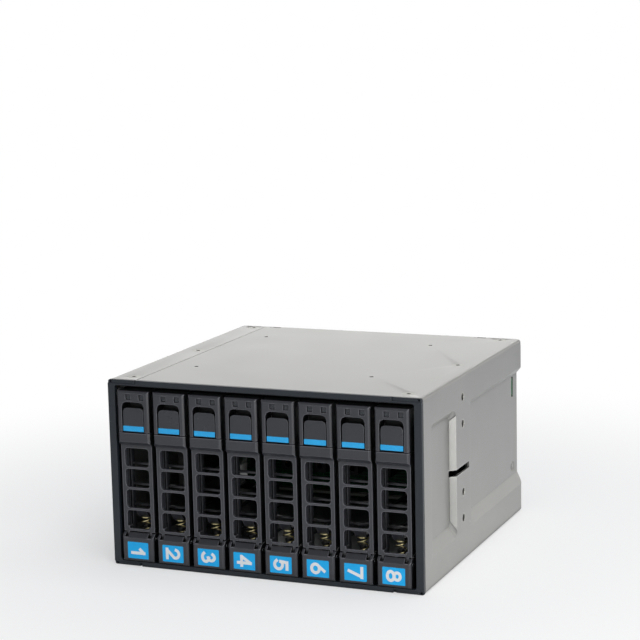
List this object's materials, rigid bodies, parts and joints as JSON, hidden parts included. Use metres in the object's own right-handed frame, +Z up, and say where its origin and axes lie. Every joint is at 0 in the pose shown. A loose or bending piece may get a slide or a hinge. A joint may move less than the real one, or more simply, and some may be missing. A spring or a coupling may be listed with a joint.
{
  "type": "hot swap drive cage",
  "caption": "Steel cage filling two full-width drive bays, with hot swap trays for small drives side by side, each with a hinged grille lever and a latch button.",
  "frame": {"origin": "middle of the bounding box seen from above, at the height of the underside", "axes": "+X to the right when facing the trays, +Y from the tray fronts to the connectors, +Z up"},
  "size_m": [0.146, 0.151, 0.084],
  "materials": {
    "galvanised_steel": "satin zinc-coated sheet with a fine grain",
    "black_frame": "fine matt black powder coat",
    "tray_plastic": "fine moulded charcoal texture",
    "button_plastic": "fine moulded charcoal texture",
    "guide_plastic": "plain black moulding",
    "light_pipe": "clear polished acrylic",
    "spring_wire": "yellow passivated wire",
    "pin_steel": "drawn steel pin",
    "screw_steel": "nickel-plated countersunk screw",
    "circuit_board": "green solder mask",
    "connector_plastic": "black glass-filled plastic",
    "power_plastic": "natural nylon",
    "port_steel": "plated shield"
  },
  "bodies": {
    "cage": {"upper_shell": "galvanised_steel", "lower_shell": "galvanised_steel", "front_frame": "black_frame", "upper_guide": "guide_plastic", "lower_guide": "guide_plastic", "backplane": "circuit_board", "backplane_brackets": "galvanised_steel", "board_screws": "screw_steel", "drive_sockets": "connector_plastic", "data_connectors": "port_steel", "power_connectors": "power_plastic", "cover_screws": "screw_steel"},
    "tray_1": {"tray_1_carrier": "tray_plastic", "tray_1_hinge_pin": "pin_steel", "tray_1_kick_spring": "spring_wire", "tray_1_light_pipes": "light_pipe"},
    "tray_1_grille_lever": {"tray_1_lever": "tray_plastic"},
    "tray_1_button": {"tray_1_latch_button": "button_plastic"},
    "tray_2": {"tray_2_carrier": "tray_plastic", "tray_2_hinge_pin": "pin_steel", "tray_2_kick_spring": "spring_wire", "tray_2_light_pipes": "light_pipe"},
    "tray_2_grille_lever": {"tray_2_lever": "tray_plastic"},
    "tray_2_button": {"tray_2_latch_button": "button_plastic"},
    "tray_3": {"tray_3_carrier": "tray_plastic", "tray_3_hinge_pin": "pin_steel", "tray_3_kick_spring": "spring_wire", "tray_3_light_pipes": "light_pipe"},
    "tray_3_grille_lever": {"tray_3_lever": "tray_plastic"},
    "tray_3_button": {"tray_3_latch_button": "button_plastic"},
    "tray_4": {"tray_4_carrier": "tray_plastic", "tray_4_hinge_pin": "pin_steel", "tray_4_kick_spring": "spring_wire", "tray_4_light_pipes": "light_pipe"},
    "tray_4_grille_lever": {"tray_4_lever": "tray_plastic"},
    "tray_4_button": {"tray_4_latch_button": "button_plastic"},
    "tray_5": {"tray_5_carrier": "tray_plastic", "tray_5_hinge_pin": "pin_steel", "tray_5_kick_spring": "spring_wire", "tray_5_light_pipes": "light_pipe"},
    "tray_5_grille_lever": {"tray_5_lever": "tray_plastic"},
    "tray_5_button": {"tray_5_latch_button": "button_plastic"},
    "tray_6": {"tray_6_carrier": "tray_plastic", "tray_6_hinge_pin": "pin_steel", "tray_6_kick_spring": "spring_wire", "tray_6_light_pipes": "light_pipe"},
    "tray_6_grille_lever": {"tray_6_lever": "tray_plastic"},
    "tray_6_button": {"tray_6_latch_button": "button_plastic"},
    "tray_7": {"tray_7_carrier": "tray_plastic", "tray_7_hinge_pin": "pin_steel", "tray_7_kick_spring": "spring_wire", "tray_7_light_pipes": "light_pipe"},
    "tray_7_grille_lever": {"tray_7_lever": "tray_plastic"},
    "tray_7_button": {"tray_7_latch_button": "button_plastic"},
    "tray_8": {"tray_8_carrier": "tray_plastic", "tray_8_hinge_pin": "pin_steel", "tray_8_kick_spring": "spring_wire", "tray_8_light_pipes": "light_pipe"},
    "tray_8_grille_lever": {"tray_8_lever": "tray_plastic"},
    "tray_8_button": {"tray_8_latch_button": "button_plastic"}
  },
  "joints": [
    {"name": "tray_1_slide", "type": "slide", "parent": "cage", "child": "tray_1", "axis": [0, -1, 0], "range_m": [0, 0.1]},
    {"name": "tray_1_lever_swing", "type": "hinge", "parent": "tray_1", "child": "tray_1_grille_lever", "pos_m": [-0.0602, -0.07185, 0.0127], "axis": [1, 0, 0], "range_deg": [0, 45], "deforming": ["tray_1_kick_spring"]},
    {"name": "tray_1_button_slide", "type": "slide", "parent": "tray_1", "child": "tray_1_button", "axis": [0, 0, 1], "range_m": [0, 0.002], "stiffness_N_per_m": 250, "springref_m": -0.0004},
    {"name": "tray_2_slide", "type": "slide", "parent": "cage", "child": "tray_2", "axis": [0, -1, 0], "range_m": [0, 0.1]},
    {"name": "tray_2_lever_swing", "type": "hinge", "parent": "tray_2", "child": "tray_2_grille_lever", "pos_m": [-0.043, -0.07185, 0.0127], "axis": [1, 0, 0], "range_deg": [0, 45], "deforming": ["tray_2_kick_spring"]},
    {"name": "tray_2_button_slide", "type": "slide", "parent": "tray_2", "child": "tray_2_button", "axis": [0, 0, 1], "range_m": [0, 0.002], "stiffness_N_per_m": 250, "springref_m": -0.0004},
    {"name": "tray_3_slide", "type": "slide", "parent": "cage", "child": "tray_3", "axis": [0, -1, 0], "range_m": [0, 0.1]},
    {"name": "tray_3_lever_swing", "type": "hinge", "parent": "tray_3", "child": "tray_3_grille_lever", "pos_m": [-0.0258, -0.07185, 0.0127], "axis": [1, 0, 0], "range_deg": [0, 45], "deforming": ["tray_3_kick_spring"]},
    {"name": "tray_3_button_slide", "type": "slide", "parent": "tray_3", "child": "tray_3_button", "axis": [0, 0, 1], "range_m": [0, 0.002], "stiffness_N_per_m": 250, "springref_m": -0.0004},
    {"name": "tray_4_slide", "type": "slide", "parent": "cage", "child": "tray_4", "axis": [0, -1, 0], "range_m": [0, 0.1]},
    {"name": "tray_4_lever_swing", "type": "hinge", "parent": "tray_4", "child": "tray_4_grille_lever", "pos_m": [-0.0086, -0.07185, 0.0127], "axis": [1, 0, 0], "range_deg": [0, 45], "deforming": ["tray_4_kick_spring"]},
    {"name": "tray_4_button_slide", "type": "slide", "parent": "tray_4", "child": "tray_4_button", "axis": [0, 0, 1], "range_m": [0, 0.002], "stiffness_N_per_m": 250, "springref_m": -0.0004},
    {"name": "tray_5_slide", "type": "slide", "parent": "cage", "child": "tray_5", "axis": [0, -1, 0], "range_m": [0, 0.1]},
    {"name": "tray_5_lever_swing", "type": "hinge", "parent": "tray_5", "child": "tray_5_grille_lever", "pos_m": [0.0086, -0.07185, 0.0127], "axis": [1, 0, 0], "range_deg": [0, 45], "deforming": ["tray_5_kick_spring"]},
    {"name": "tray_5_button_slide", "type": "slide", "parent": "tray_5", "child": "tray_5_button", "axis": [0, 0, 1], "range_m": [0, 0.002], "stiffness_N_per_m": 250, "springref_m": -0.0004},
    {"name": "tray_6_slide", "type": "slide", "parent": "cage", "child": "tray_6", "axis": [0, -1, 0], "range_m": [0, 0.1]},
    {"name": "tray_6_lever_swing", "type": "hinge", "parent": "tray_6", "child": "tray_6_grille_lever", "pos_m": [0.0258, -0.07185, 0.0127], "axis": [1, 0, 0], "range_deg": [0, 45], "deforming": ["tray_6_kick_spring"]},
    {"name": "tray_6_button_slide", "type": "slide", "parent": "tray_6", "child": "tray_6_button", "axis": [0, 0, 1], "range_m": [0, 0.002], "stiffness_N_per_m": 250, "springref_m": -0.0004},
    {"name": "tray_7_slide", "type": "slide", "parent": "cage", "child": "tray_7", "axis": [0, -1, 0], "range_m": [0, 0.1]},
    {"name": "tray_7_lever_swing", "type": "hinge", "parent": "tray_7", "child": "tray_7_grille_lever", "pos_m": [0.043, -0.07185, 0.0127], "axis": [1, 0, 0], "range_deg": [0, 45], "deforming": ["tray_7_kick_spring"]},
    {"name": "tray_7_button_slide", "type": "slide", "parent": "tray_7", "child": "tray_7_button", "axis": [0, 0, 1], "range_m": [0, 0.002], "stiffness_N_per_m": 250, "springref_m": -0.0004},
    {"name": "tray_8_slide", "type": "slide", "parent": "cage", "child": "tray_8", "axis": [0, -1, 0], "range_m": [0, 0.1]},
    {"name": "tray_8_lever_swing", "type": "hinge", "parent": "tray_8", "child": "tray_8_grille_lever", "pos_m": [0.0602, -0.07185, 0.0127], "axis": [1, 0, 0], "range_deg": [0, 45], "deforming": ["tray_8_kick_spring"]},
    {"name": "tray_8_button_slide", "type": "slide", "parent": "tray_8", "child": "tray_8_button", "axis": [0, 0, 1], "range_m": [0, 0.002], "stiffness_N_per_m": 250, "springref_m": -0.0004}
  ]
}
